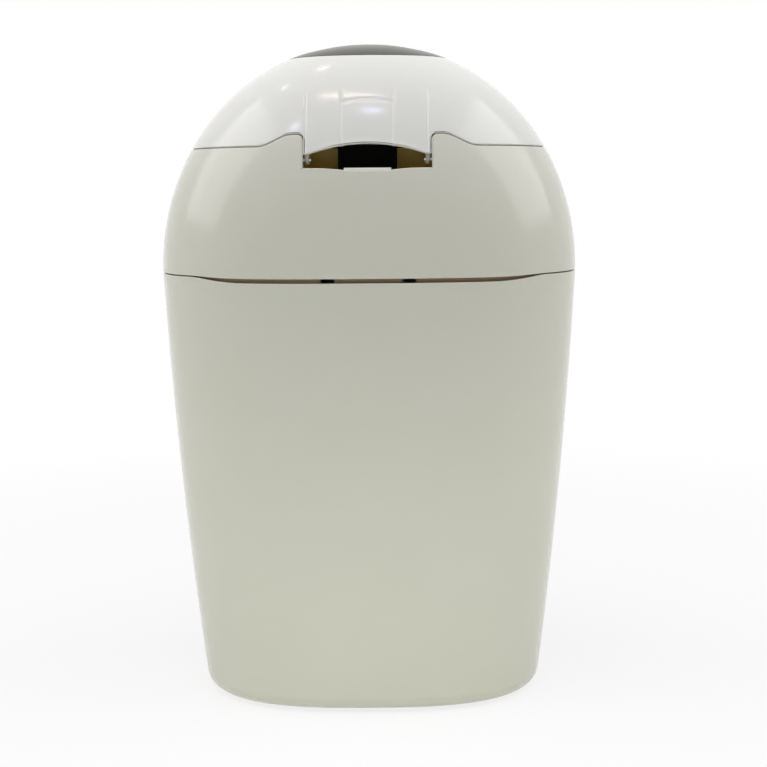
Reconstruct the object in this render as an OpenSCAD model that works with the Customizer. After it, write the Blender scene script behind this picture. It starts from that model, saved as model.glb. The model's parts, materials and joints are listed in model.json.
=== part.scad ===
// Nappy bin: tapered tub, domed hood that tilts back, hinged lid, film cassette and spring clamp.
// Millimetres. Origin on the floor under the middle of the tub. The hinge side faces -Y.

/* [Overall] */
// Width at the widest level
bin_w = 330; // [320:1:345]
// Depth at the widest level
bin_d = 244; // [240:1:252]
// Height of the seam between tub and hood
seam_z = 338; // [320:1:350]
// Height of the widest level above that seam
wide_rise = 3; // [1:0.1:6]
// Rise of the dome above its widest level
dome_rise = 175; // [168:1:182]
// Height of the lid seam above the widest level, as a share of the rise of the dome
lid_share = 0.532; // [0.51:0.002:0.55]

/* [Tub] */
// Width of the tub at the floor
base_w = 273; // [250:1:300]
// Depth of the tub at the floor
base_d = 216; // [200:1:230]
// Outward bow of the tub sides at half height
belly = 3.1; // [0:0.1:6]
// Wall of the tub
tub_wall = 2.6; // [2:0.1:3.2]
// Thickness of the tub floor
floor_t = 3; // [2:0.2:5]
// Rounding where the tub wall meets the floor
base_round = 12; // [5:1:14]
// Height of the feet under the tub
foot_h = 1.5; // [1:0.1:3]
// Radius of a foot
foot_r = 9; // [6:0.5:12]
// Gap of the hood seam at the sides and front
seam_gap = 0.8; // [0.6:0.1:1.2]
// Gap of the hood seam on the hinge side
rear_gap = 2.9; // [2.8:0.1:3.4]
// Thickness of the collar inside the tub mouth
collar_t = 2; // [1.5:0.1:3]
// Height of the collar above the seam
collar_rise = 5; // [3:0.5:5]
// Depth of the collar below the seam
collar_drop = 12; // [8:0.5:16]

/* [Hood and lid shells] */
// Wall of the hood
hood_wall = 2.6; // [2.4:0.1:2.8]
// Wall of the lid
lid_wall = 2.6; // [2.2:0.1:2.8]
// Gap of the lid seam
lid_gap = 0.7; // [0.5:0.1:1]
// Thickness of the grey lid panel
panel_t = 1.4; // [1:0.1:1.6]
// Half width of the grey panel over the crest
panel_half = 63; // [50:1:75]
// Half width of the grey panel at its lower end
panel_foot_half = 52; // [40:1:65]
// Depth of the crest edge of the panel below the top of the dome
panel_drop = 12.2; // [9:0.1:16]
// Finger room under the lid grip
grip_room = 16; // [14:0.5:18]

/* [Hinge notch] */
// Half width of the tongue of the lid
tongue_half = 47; // [40:0.2:50]
// Depth of the tongue corners below the lid seam
tongue_drop = 6.2; // [5.6:0.2:9]
// Rise of the arch in the tongue
arch_rise = 7.3; // [4:0.1:9]
// Width of each tongue foot beside the arch
tongue_foot = 3.8; // [3:0.2:6]
// Height of the hood shoulders above the lid seam
shoulder_rise = 8.7; // [5:0.1:10]
// Half width where the shoulder starts to climb
shoulder_half = 82; // [72:1:88]
// Half width where the shoulder is highest
crown_half = 56; // [52:1:60]
// Depth of the notch corners below the lid seam
notch_drop = 17; // [16.5:0.5:19]
// Extra depth of the notch in the middle
notch_bow = 2.3; // [0:0.1:4]
// Half width of the stop tab on the notch edge
tab_half = 16.8; // [10:0.2:20]
// Height of the stop tab
tab_h = 4; // [2:0.2:5]

/* [Lid hinge] */
// Depth of the lid hinge axis below the lid seam
axis_drop = 11; // [10.5:0.1:11.5]
// Depth of the lid hinge axis inside the hood skin
axis_in = 6.6; // [6.5:0.1:7]
// Radius of a lid hinge pin
lid_pin_r = 1.8; // [1.5:0.1:2]
// Radius of the bosses around the lid hinge pins
lid_boss_r = 3.2; // [3:0.1:3.3]
// Thickness of the lid hinge arms
arm_t = 3.8; // [3:0.2:4.4]
// Half width of the black damper block
damper_half = 22; // [16:0.2:26]

/* [Hood hinge] */
// Distance of the hood hinge axis inside the widest level
hood_axis_in = 22; // [21.5:0.1:22.2]
// Depth of the hood hinge axis below the seam
hood_axis_drop = 23; // [22.8:0.1:24]
// Angle the hood tilts back
hood_tilt = 60; // [40:5:60]
// Radius of a hood hinge pin
hood_pin_r = 3; // [2.5:0.1:3.2]
// Radius of the bosses around the hood hinge pins
hood_boss_r = 6; // [5.5:0.1:6.5]
// Half distance between the two gooseneck arms
neck_half = 30; // [26:1:34]
// Thickness of a gooseneck arm
neck_t = 8; // [6:0.5:10]
// Thickness of a bracket cheek
cheek_t = 4; // [3:0.5:5]

/* [Mouth and cassette] */
// Distance of the mouth centre towards the front
mouth_y = 12; // [11:0.5:13]
// Room between the film cassette and the widest level of the hood, without the shift of the mouth
cassette_room = 39; // [38.5:0.5:41]
// Width of the film well of the cassette
well_w = 25; // [22:1:28]
// Height of the film cassette
cassette_h = 48; // [36:1:50]
// Wall of the cassette tray
cassette_wall = 2; // [1.5:0.1:3]
// Wall of the cradle
cradle_wall = 2.5; // [2:0.1:3]
// Thickness of the deck
deck_t = 2.6; // [2:0.2:3]
// Depth of the deck underside below the lid seam
deck_drop = 16; // [15:0.5:17]
// Width of the lid seal
seal_w = 4; // [3:0.5:4.5]

/* [Clamp] */
// Lip of the cradle floor inside the cassette
throat_lip = 2; // [1:0.5:4]
// Thickness of a clamp jaw
jaw_t = 3; // [2:0.2:3.6]
// Radius of the jaw pins
jaw_pin_r = 2; // [1.6:0.1:2.2]
// Radius of the jaw barrels
jaw_barrel_r = 3.4; // [3.2:0.1:3.8]
// Half length of the jaw barrels
jaw_half = 25; // [20:1:28]
// Width of the rubber lip of a jaw
lip_w = 2; // [1.5:0.1:3]

/* [Release button and cutter] */
// Half length of the release button
button_half = 20; // [16:1:24]
// Height of the release button
button_h = 16; // [12:1:18]
// Depth of the button centre below the seam
button_drop = 21; // [20:0.5:24]
// How far the button stands out of the tub
button_proud = 1; // [0.6:0.1:1.6]
// Travel of the button
button_travel = 2.2; // [1.5:0.1:2.4]
// Half width of the hood hook
hook_half = 12; // [8:1:16]
// Half length of the cutter rail
rail_half = 50; // [40:1:60]
// Half width of the cutter slider
slider_half = 9; // [7:0.5:12]

/* [Hidden] */

white = "#dad9ce";
khaki = "#9c8b55";
grey = "#75746a";
dark = "#141514";
steel = "#b9bbbd";
film = "#c9dbe2";

fit = 0.3;          // clearance between parts that seat on each other
run = 0.05;         // radial clearance of a pin that turns in its bore
half_w = bin_w / 2;
half_d = bin_d / 2;
cassette_r = half_d - cassette_room;
cassette_bore_r = cassette_r - well_w;
throat_r = cassette_bore_r - throat_lip;
wide_z = seam_z + wide_rise;
top_z = wide_z + dome_rise;
lid_z = wide_z + lid_share * dome_rise;
arch_power = 0.967; // shape of the dome seen from the hinge side
side_power = 0.925;   // shape of the dome seen from the side
plan_power = 2.7;     // squareness of the plan at the seam
top_power = 2.2;    // squareness of the plan at the crest
crown_angle = 86;   // the dome is closed by a small flat above this angle
around = 72;        // points around a level

// ---- the outer form --------------------------------------------------------------------------

function clamp01(v) = max(0, min(1, v));
function smooth(v) = let (s = clamp01(v)) s * s * (3 - 2 * s);
function dome_share(z, i) = z <= wide_z ? 1 : sqrt(max(0, 1 - pow((z - wide_z) / (dome_rise - i), 2)));
function dome_a(z, i = 0) = (half_w - i) * pow(dome_share(z, i), arch_power);
function dome_b(z, i = 0) = (half_d - i) * pow(dome_share(z, i), side_power);
function plan_n(z) = plan_power - (plan_power - top_power) * clamp01((z - wide_z) / dome_rise);
function signed_power(v, p) = sign(v) * pow(abs(v), p);
function plan_point(t, a, b, n) = [a * signed_power(cos(t), 2 / n), b * signed_power(sin(t), 2 / n)];
function level(a, b, n) = [for (k = [0 : around - 1]) plan_point(360 * k / around, a, b, n)];
function lifted(points, z) = [for (p = points) [p[0], p[1], z]];
function dome_level(z, i) = lifted(level(dome_a(z, i), dome_b(z, i), plan_n(z)), z);
// Outline of a plate whose top lies at z inside the dome, i inside the surface and g clear of it
function dome_plate(z, i, g) = level(dome_a(z, i) - g, dome_b(z, i) - g, plan_n(z));
// Distance of the dome skin from the middle plane at x and z, i inside the surface
function skin_y(x, z, i = 0) =
  dome_b(z, i) * pow(max(0, 1 - pow(abs(x) / dome_a(z, i), plan_n(z))), 1 / plan_n(z));

function tub_share(z) = clamp01((z - foot_h) / (seam_z - foot_h));
function floor_round(z) = let (h = z - foot_h)
  h < base_round ? base_round - sqrt(max(0, pow(base_round, 2) - pow(base_round - h, 2))) : 0;
function tub_half(z, low, high, i) = let (s = tub_share(z))
  low + (high - low) * s + 4 * belly * s * (1 - s) - floor_round(z) - i;
function tub_a(z, i = 0) = tub_half(z, base_w / 2, half_w, i);
function tub_b(z, i = 0) = tub_half(z, base_d / 2, half_d, i);
function tub_level(z, i) = lifted(level(tub_a(z, i), tub_b(z, i), plan_power), z);
function tub_skin_y(x, z, i = 0) =
  tub_b(z, i) * pow(1 - pow(abs(x) / tub_a(z, i), plan_power), 1 / plan_power);
// Height of the tub rim: it dips on the hinge side, where the hood needs room to tilt
function rim_gap(y) = seam_gap + (rear_gap - seam_gap) * smooth((-y - 0.76 * half_d) / (0.16 * half_d));
function rim_level(i) = [for (p = level(tub_a(seam_z, i), tub_b(seam_z, i), plan_power))
  [p[0], p[1], seam_z - rim_gap(p[1])]];

// A closed solid through a list of levels, each a ring of points; the first and last are capped
module skin(levels) {
  n = len(levels[0]);
  last = (len(levels) - 1) * n;
  sides = [for (r = [0 : len(levels) - 2], k = [0 : n - 1], half = [0, 1])
    let (p = r * n + k, q = r * n + (k + 1) % n)
    half == 0 ? [p, p + n, q] : [q, p + n, q + n]];
  polyhedron(
    points = [for (ring = levels, p = ring) p],
    faces = concat(sides, [[for (k = [0 : n - 1]) k]], [[for (k = [n - 1 : -1 : 0]) last + k]]),
    convexity = 6
  );
}

// Heights from z0 to the crest, evenly spread in angle
function dome_heights(z0, i, steps) =
  let (from = asin(max(0, z0 - wide_z) / (dome_rise - i)))
  [for (k = [0 : steps]) let (phi = from + (crown_angle - from) * k / steps)
    k == 0 ? z0 : wide_z + (dome_rise - i) * sin(phi)];

// Shell of the dome above z0, from the skin inset by i to a wall deeper
module dome_shell(z0, i, wall, steps) {
  inner = dome_heights(z0, i + wall, steps);
  outer = dome_heights(z0, i, steps);
  skin(concat(
    [for (k = [steps : -1 : 0]) dome_level(inner[k], i + wall)],
    [for (k = [0 : steps]) dome_level(outer[k], i)]
  ));
}

// ---- outlines seen from the hinge side, in x and z ----------------------------------------------

function mirrored(points) =
  concat(points, [for (k = [len(points) - 1 : -1 : 0]) [-points[k][0], points[k][1]]]);
// The seam from the side to the shoulder crown, moved down by g
function shoulder_line(g) = [for (s = [0 : 0.125 : 1])
  [shoulder_half + (crown_half - shoulder_half) * s, lid_z + shoulder_rise * smooth(s) - g]];
function crown_corner(g) = let (r = 4, x = tongue_half + g, z = lid_z + shoulder_rise - g)
  [for (t = [0 : 22.5 : 90]) [x + r - r * sin(t), z - r + r * cos(t)]];
function arch_line() = let (x = tongue_half - tongue_foot)
  [for (s = [0 : 0.125 : 1]) [x * (1 - s), lid_z - tongue_drop + arch_rise * (1 - pow(1 - s, 2))]];

module lid_outline() {
  polygon(mirrored(concat(
    [[bin_w, top_z + 50], [bin_w, lid_z]],
    shoulder_line(0),
    crown_corner(0),
    [[tongue_half, lid_z - tongue_drop]],
    arch_line()
  )));
}

// What the hood leaves free: the lid, its gap and the notch
module lid_room_outline() {
  notch_x = tongue_half + lid_gap;
  polygon(mirrored(concat(
    [[bin_w, top_z + 50], [bin_w, lid_z - lid_gap]],
    shoulder_line(lid_gap),
    crown_corner(lid_gap),
    [for (s = [0 : 0.125 : 1]) [notch_x * (1 - s), lid_z - notch_drop - notch_bow * (1 - pow(1 - s, 2))]]
  )));
}

// Extrudes an outline in x and z through the hinge side, from y = -bin_d to y = 0
module through_hinge_side() rotate([90, 0, 0]) linear_extrude(bin_d) children();

module above(z) translate([-bin_w, 0, z]) cube([2 * bin_w, bin_d, bin_d]);

// ---- tub ----------------------------------------------------------------------------------------

tub_heights = [for (h = [0, 0.12, 0.4, 1]) foot_h + base_round * h];
tub_steps = 8;
function tub_step(k) = foot_h + base_round + (seam_z - foot_h - base_round) * k / tub_steps;

module tub() color(white) difference() {
  skin(concat(
    [for (z = tub_heights) tub_level(z, 0)],
    [for (k = [1 : tub_steps - 1]) tub_level(tub_step(k), 0)],
    [rim_level(0), rim_level(tub_wall)],
    [for (k = [tub_steps - 1 : -1 : 0]) tub_level(tub_step(k), tub_wall)],
    [tub_level(foot_h + floor_t, tub_wall)]
  ));
  button_prism(fit, half_d - 8, half_d + 8);
}

collar_a = tub_a(seam_z - collar_drop, tub_wall + fit);
collar_b = tub_b(seam_z - collar_drop, tub_wall + fit);
neck_slot = neck_t / 2 + 1;              // half width of the room for a gooseneck in the collar

module tub_collar() color(white) difference() {
  translate([0, 0, seam_z - collar_drop]) linear_extrude(collar_drop + collar_rise) difference() {
    polygon(level(collar_a, collar_b, plan_power));
    polygon(level(collar_a - collar_t, collar_b - collar_t, plan_power));
  }
  for (s = [-1, 1]) translate([s * neck_half - neck_slot, -bin_d, seam_z - collar_drop + 3])
    cube([2 * neck_slot, bin_d, top_z]);
  translate([-button_half - 8, half_d - 20, 0]) cube([2 * button_half + 16, 40, top_z]);
}

foot_x = 0.32 * base_w;
foot_y = 0.28 * base_d;

module rubber_feet() color(dark)
  for (sx = [-1, 1], sy = [-1, 1]) translate([sx * foot_x, sy * foot_y, 0])
    cylinder(r = foot_r, h = foot_h, $fn = 48);

// ---- hood hinge ---------------------------------------------------------------------------------

hood_axis_y = -(half_d - hood_axis_in);
hood_axis_z = seam_z - hood_axis_drop;
plate_half = neck_half + neck_t / 2 + fit + cheek_t + 4;
plate_low = hood_axis_z - 13;
plate_t = 3;
bracket_back = -tub_skin_y(plate_half, plate_low, tub_wall) + fit;
neck_gap = 0.4;     // side clearance of an arm between its cheeks

module along_x(x0, x1, r, y, z)
  translate([x0, y, z]) rotate([0, 90, 0]) cylinder(r = r, h = x1 - x0, $fn = 64);
module along_y(x, y0, y1, r, z)
  translate([x, y1, z]) rotate([90, 0, 0]) cylinder(r = r, h = y1 - y0, $fn = 64);
module block(x0, x1, y0, y1, z0, z1) translate([x0, y0, z0]) cube([x1 - x0, y1 - y0, z1 - z0]);

module tub_hinge_bracket() color(white) difference() {
  union() {
    block(-plate_half, plate_half, bracket_back, bracket_back + plate_t, plate_low, hood_axis_z + 9);
    for (s = [-1, 1], e = [-1, 1]) let (x = s * neck_half + e * (neck_t / 2 + neck_gap + cheek_t / 2)) {
      along_x(x - cheek_t / 2, x + cheek_t / 2, hood_boss_r, hood_axis_y, hood_axis_z);
      block(x - cheek_t / 2, x + cheek_t / 2, bracket_back + plate_t - 0.01, hood_axis_y,
        hood_axis_z - hood_boss_r, hood_axis_z + hood_boss_r);
    }
  }
  along_x(-plate_half - 1, plate_half + 1, hood_pin_r + 0.02, hood_axis_y, hood_axis_z);
}

pin_reach = neck_t / 2 + neck_gap + cheek_t;

module hood_hinge_pins() color(steel)
  for (s = [-1, 1]) let (x = s * neck_half)
    along_x(x - pin_reach, x + pin_reach, hood_pin_r, hood_axis_y, hood_axis_z);

neck_plate_low = seam_z + 13;
neck_plate_high = seam_z + 34;
neck_back = -skin_y(plate_half, neck_plate_high, hood_wall) + fit;

// The top of the tub rim as the tilted hood sees it, as a radius and an angle about the hinge axis
rim_r = norm([hood_axis_in, hood_axis_drop - rear_gap]);
rim_t = atan2(hood_axis_drop - rear_gap, tub_wall - hood_axis_in) - hood_tilt;
function about_axis(r, t) = [hood_axis_y + r * cos(t), hood_axis_z + r * sin(t)];

// Side view of a gooseneck: up inside the rim, over it with clearance and back to the hood wall
function neck_profile() = [
  [hood_axis_y - 4, hood_axis_z], [hood_axis_y + 4, hood_axis_z],
  about_axis(0.6 * rim_r, rim_t - 22), about_axis(rim_r, rim_t - 14), about_axis(rim_r + 8, rim_t - 6),
  about_axis(rim_r + 14, rim_t + 8),
  [neck_back + 1, neck_plate_high - 4], [neck_back + 1, neck_plate_low + 3],
  about_axis(rim_r + 5, rim_t + 19), about_axis(rim_r + 1.8, rim_t), about_axis(rim_r - 1.2, rim_t - 2.4),
  about_axis(0.69 * rim_r, rim_t + 3)];

module hood_hinge_arms() color(white) difference() {
  union() {
    block(-plate_half, plate_half, neck_back, neck_back + plate_t, neck_plate_low, neck_plate_high);
    for (s = [-1, 1]) let (x = s * neck_half - neck_t / 2) {
      translate([x, 0, 0]) rotate([90, 0, 90]) linear_extrude(neck_t) polygon(neck_profile());
      along_x(x, x + neck_t, hood_boss_r, hood_axis_y, hood_axis_z);
    }
  }
  along_x(-plate_half, plate_half, hood_pin_r + run, hood_axis_y, hood_axis_z);
}

// ---- release button on the front of the tub -----------------------------------------------------

button_z = seam_z - button_drop;
button_face = tub_b(button_z) + button_proud;
flange_lip = 2;
flange_t = 1.8;
flange_y = tub_skin_y(button_half + flange_lip + 2, button_z - button_h / 2 - 4, tub_wall) - fit;
housing_back = flange_y - flange_t - button_travel - fit;
housing_t = 1.8;
spring_r = 4;
stem_r = 2.4;

// The button outline, grown by g, from y0 to y1
module button_prism(g, y0, y1) let (r = button_h / 2, x = button_half - r) {
  for (s = [-1, 1]) along_y(s * x, y0, y1, r + g, button_z);
  block(-x, x, y0, y1, button_z - r - g, button_z + r + g);
}

module release_button() color(grey) {
  button_prism(0, flange_y, button_face);
  button_prism(flange_lip, flange_y - flange_t, flange_y);
  along_y(0, housing_back - housing_t + 0.2, flange_y - flange_t + 0.01, stem_r, button_z);
}

module button_spring() color(steel) difference() {
  along_y(0, housing_back, flange_y - flange_t, spring_r, button_z);
  along_y(0, housing_back - 1, flange_y, spring_r - 1, button_z);
}

module button_housing() color(white) difference() {
  button_prism(flange_lip + fit + housing_t, housing_back - housing_t, flange_y);
  button_prism(flange_lip + fit, housing_back, flange_y + 1);
  along_y(0, housing_back - housing_t - 1, housing_back + 1, stem_r + fit, button_z);
}

hook_y = housing_back - housing_t - 2.8;   // the hook swings out before it rises
hook_t = 2.4;
hook_low = button_z - button_h / 2 - 8;
hook_root = seam_z + 6;

module hood_hook() color(white) {
  hood_y = skin_y(hook_half, hook_root + 6, hood_wall) - fit;
  block(-hook_half, hook_half, hook_y - hook_t, hook_y, hook_low, hook_root);
  block(-hook_half, hook_half, hook_y - hook_t, hood_y, hook_root, hook_root + 3);
  block(-hook_half, hook_half, hook_y, hook_y + 1.4, hook_low, hook_low + 3);
}

// ---- hood ---------------------------------------------------------------------------------------

lid_axis_z = lid_z - axis_drop;
lid_axis_y = -(skin_y(tongue_half + 4, lid_axis_z) - axis_in);
boss_near = tongue_half + lid_gap;      // inner end of the hinge bosses in the hood
boss_far = boss_near + 6;
tab_z = lid_z - notch_drop - notch_bow;

module hood_shell() color(white) {
  difference() {
    dome_shell(seam_z, 0, hood_wall, 14);
    through_hinge_side() lid_room_outline();
    above(lid_z - lid_gap);
  }
  stop_tab();
}

module stop_tab() let (y = skin_y(tab_half, tab_z + tab_h))
  block(-tab_half, tab_half, -y, -y + 2, tab_z - 1.5, tab_z + tab_h);

deck_z = lid_z - deck_drop;
deck_top = deck_z + deck_t;
cup_back = lid_axis_y + 17;             // front face of the wall behind the hinge notch
cup_half = boss_far + 3;
cup_low = deck_z - 9;
cup_wall = 2.5;

module hinge_cutout()
  block(-cup_half - fit, cup_half + fit, -bin_d, cup_back + cup_wall + fit, 0, top_z);

cradle_r = cassette_r + 1.5;
flange_r = cradle_r + cradle_wall + 4;

module deck() color(white) difference() {
  translate([0, 0, deck_z]) linear_extrude(deck_t) polygon(dome_plate(deck_top, hood_wall + fit, fit / 3));
  translate([0, mouth_y, deck_z - 1]) cylinder(r = cradle_r, h = deck_t + 2, $fn = 120);
  hinge_cutout();
}

cradle_low = deck_z - fit - cassette_h - cradle_wall;

module around_mouth() translate([0, mouth_y, 0]) rotate_extrude($fn = 120) children();

module cradle() color(white) around_mouth() polygon([
  [throat_r + 2, cradle_low], [cradle_r + cradle_wall, cradle_low], [cradle_r + cradle_wall, deck_z - 3],
  [flange_r, deck_z - 3], [flange_r, deck_z], [cradle_r, deck_z], [cradle_r, cradle_low + cradle_wall],
  [throat_r + 2, cradle_low + cradle_wall]]);

// ---- cassette -----------------------------------------------------------------------------------

tray_low = cradle_low + cradle_wall;
tray_top = tray_low + cassette_h;

well_in = cassette_bore_r + cassette_wall;
well_out = cassette_r - cassette_wall;
well_low = tray_low + cassette_wall;

module cassette_tray() color(film) around_mouth() polygon([
  [cassette_bore_r, tray_low], [cassette_r, tray_low], [cassette_r, tray_top], [well_out, tray_top],
  [well_out, well_low], [well_in, well_low], [well_in, tray_top - 4], [cassette_bore_r, tray_top - 4]]);

pleat_h = 4;
pleats = floor((cassette_h - cassette_wall - 8) / pleat_h);

// The film is folded into flat pleats, one above the other
module cassette_film() color(film) around_mouth() polygon(concat(
  [for (k = [0 : pleats - 1], e = [0, 1]) [well_in + 1.2 + 1.8 * e, well_low + pleat_h * (k + e / 2)]],
  [[well_in + 2, well_low + pleat_h * pleats], [well_out - 2, well_low + pleat_h * pleats]],
  [for (k = [pleats - 1 : -1 : 0], e = [1, 0]) [well_out - 1.2 - 1.8 * e, well_low + pleat_h * (k + e / 2)]]
));

module cassette_cap() color(film) around_mouth() polygon([
  [cassette_bore_r + 5, tray_top + fit], [cassette_r, tray_top + fit], [cassette_r, tray_top + 1.6],
  [cassette_r - 3, tray_top + 2.4], [cassette_bore_r + 7, tray_top + 2.4],
  [cassette_bore_r + 5, tray_top + 1.4]]);

// ---- clamp --------------------------------------------------------------------------------------

frame_top = cradle_low - fit;
frame_t = 6;
pin_x = throat_r;
pin_z = frame_top - frame_t - jaw_barrel_r - 1;
lug_t = 5;
lug_r = 4.5;

module clamp_frame() color(white) difference() {
  union() {
    translate([0, mouth_y, frame_top - frame_t]) difference() {
      cylinder(r = cradle_r, h = frame_t, $fn = 120);
      translate([0, 0, -1]) cylinder(r = throat_r + 2, h = frame_t + 2, $fn = 120);
    }
    for (s = [-1, 1], e = [-1, 1]) let (y = mouth_y + e * (jaw_half + fit + lug_t / 2)) {
      block(s * pin_x - lug_r, s * pin_x + lug_r, y - lug_t / 2, y + lug_t / 2, pin_z, frame_top - 0.5);
      along_y(s * pin_x, y - lug_t / 2, y + lug_t / 2, lug_r, pin_z);
    }
  }
  for (s = [-1, 1]) along_y(s * pin_x, mouth_y - cradle_r, mouth_y + cradle_r, jaw_pin_r + 0.02, pin_z);
  for (k = [0 : 3]) rotate_about_mouth(45 + 90 * k) translate([screw_ring, 0, frame_top - frame_t - 1])
    cylinder(r = screw_r + 0.1, h = frame_t + 2, $fn = 32);
}

module rotate_about_mouth(t) translate([0, mouth_y, 0]) rotate([0, 0, t]) children();

screw_r = 1.6;
screw_ring = throat_r + 16;

module clamp_screws() color(steel)
  for (k = [0 : 3]) rotate_about_mouth(45 + 90 * k) translate([screw_ring, 0, 0]) {
    translate([0, 0, frame_top - frame_t - 2]) cylinder(r = 3, h = 2, $fn = 32);
    translate([0, 0, frame_top - frame_t]) cylinder(r = screw_r, h = frame_t, $fn = 32);
  }

jaw_plate_z = pin_z + 1;

// A block on the side s of the mouth, from x0 to x1 away from its middle
module side_block(s, x0, x1, half, z0, z1)
  block(s > 0 ? x0 : -x1, s > 0 ? x1 : -x0, mouth_y - half, mouth_y + half, z0, z1);

// A half disc from the barrel to the middle of the throat, for the side s of the clamp
module jaw(s) color(white) difference() {
  union() {
    along_y(s * pin_x, mouth_y - jaw_half, mouth_y + jaw_half, jaw_barrel_r, pin_z);
    intersection() {
      translate([0, mouth_y, jaw_plate_z]) cylinder(r = throat_r - 1, h = jaw_t, $fn = 120);
      side_block(s, lip_w + fit, throat_r, throat_r, jaw_plate_z, jaw_plate_z + jaw_t);
    }
    side_block(s, pin_x - 8, pin_x, jaw_half - 1, jaw_plate_z, jaw_plate_z + jaw_t - 0.6);
  }
  along_y(s * pin_x, mouth_y - jaw_half - 1, mouth_y + jaw_half + 1, jaw_pin_r + run, pin_z);
}

module jaw_lip(s) color(dark)
  side_block(s, fit / 2, lip_w + fit, throat_r - 3.5, jaw_plate_z - 1, jaw_plate_z + jaw_t);

jaw_spring_l = 5;
jaw_pin_reach = jaw_half + fit + lug_t + jaw_spring_l + 1;

module jaw_pins() color(steel)
  for (s = [-1, 1]) along_y(s * pin_x, mouth_y - jaw_pin_reach, mouth_y + jaw_pin_reach, jaw_pin_r, pin_z);

module jaw_springs() color(steel)
  for (s = [-1, 1], e = [-1, 1]) let (y = mouth_y + e * (jaw_half + fit + lug_t + jaw_spring_l / 2))
    difference() {
      along_y(s * pin_x, y - jaw_spring_l / 2, y + jaw_spring_l / 2, jaw_pin_r + 1.8, pin_z);
      along_y(s * pin_x, y - jaw_spring_l, y + jaw_spring_l, jaw_pin_r + 0.2, pin_z);
    }

// ---- film cutter inside the front of the hood ---------------------------------------------------

rail_z = hook_root + 14;
rail_h = 8;
rail_back = skin_y(rail_half, rail_z + rail_h, hood_wall) - fit;
rail_t = 7;
groove = 3;
groove_z = rail_z + (rail_h - groove) / 2;

module cutter_rail() color(white) difference() {
  block(-rail_half, rail_half, rail_back - rail_t, rail_back, rail_z, rail_z + rail_h);
  block(-rail_half + 3, rail_half - 3, rail_back - rail_t - 1, rail_back - 2, groove_z, groove_z + groove);
}

slider_t = 3;
blade_t = 0.5;

slider_y = rail_back - rail_t - fit;      // side of the slider that faces the rail

module cutter_slider() color(grey) {
  difference() {
    block(-slider_half, slider_half, slider_y - slider_t, slider_y, rail_z - 4, rail_z + rail_h);
    block(-blade_t, blade_t, slider_y - slider_t - 1, slider_y + 1, rail_z - 5, rail_z);
  }
  block(2 - slider_half, slider_half - 2, slider_y - 0.01, rail_back - 2 - fit,
    groove_z + 0.2, groove_z + groove - 0.2);
}

module cutter_blade() color(steel)
  block(-blade_t / 2, blade_t / 2, slider_y - slider_t, slider_y, rail_z - 8, rail_z - 0.2);

// ---- lid hinge ----------------------------------------------------------------------------------

damper_front = lid_axis_y + 7;

// The cup behind the notch: floor, back wall and two bored cheeks
module lid_hinge_bracket() color(khaki) difference() {
  union() {
    block(-cup_half, cup_half, lid_axis_y - 2, cup_back + cup_wall, cup_low, cup_low + cup_wall);
    block(-cup_half, cup_half, cup_back, cup_back + cup_wall, cup_low, lid_axis_z + 9);
    for (s = [-1, 1]) let (a = s > 0 ? boss_near : -boss_far, b = s > 0 ? boss_far : -boss_near) {
      along_x(a, b, lid_boss_r, lid_axis_y, lid_axis_z);
      block(a, b, lid_axis_y, cup_back + 1, cup_low + 1, lid_axis_z + lid_boss_r);
    }
  }
  along_x(-boss_far - 1, boss_far + 1, lid_pin_r + run, lid_axis_y, lid_axis_z);
  damper_screw_holes();
}

damper_screw_x = damper_half - 4;
damper_screw_z = cup_low + cup_wall + 2;
damper_screw_in = 5;                    // reach of a screw into the damper

module damper_screw_holes()
  for (s = [-1, 1])
    along_y(s * damper_screw_x, cup_back - damper_screw_in - 0.5, cup_back + cup_wall + 1, screw_r + 0.1,
      damper_screw_z);

// The screws come from the front, through the back wall of the cup, into the damper
module bracket_screws() color(steel)
  for (s = [-1, 1]) let (y = cup_back + cup_wall) {
    along_y(s * damper_screw_x, y, y + 1.6, 3, damper_screw_z);
    along_y(s * damper_screw_x, cup_back - damper_screw_in, y + 0.01, screw_r, damper_screw_z);
  }

module hinge_damper() color(dark) difference() {
  block(-damper_half, damper_half, damper_front, cup_back, cup_low + cup_wall, lid_axis_z + 11);
  damper_screw_holes();
}

arm_x = tongue_half - 0.4;
arm_top = lid_z + 14;

// Side view of a lid arm: from the boss up along the inside of the tongue
function arm_profile() = concat(
  [for (z = [lid_axis_z + 3 : 4 : arm_top]) [-skin_y(arm_x, z, lid_wall) + fit, z]],
  [for (z = [arm_top, lid_axis_z]) [-skin_y(arm_x, z, lid_wall) + 6.5, z]],
  [[lid_axis_y - lid_boss_r * 0.7, lid_axis_z]]);

module lid_hinge_arms() color(white) difference() {
  for (s = [-1, 1]) let (x0 = s > 0 ? arm_x - arm_t : -arm_x) {
    translate([x0, 0, 0]) rotate([90, 0, 90]) linear_extrude(arm_t) polygon(arm_profile());
    along_x(x0, x0 + arm_t, lid_boss_r, lid_axis_y, lid_axis_z);
  }
  along_x(-arm_x - 1, arm_x + 1, lid_pin_r + 0.02, lid_axis_y, lid_axis_z);
}

module lid_hinge_pins() color(steel)
  for (s = [-1, 1]) let (x = arm_x - arm_t - 1)
    along_x(s > 0 ? x : -boss_far, s > 0 ? boss_far : -x, lid_pin_r, lid_axis_y, lid_axis_z);

// ---- lid ----------------------------------------------------------------------------------------

lid_low = lid_z - tongue_drop - 4;
crest_tilt = 2.3;   // slope of the panel edge that shows over the crest

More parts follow.
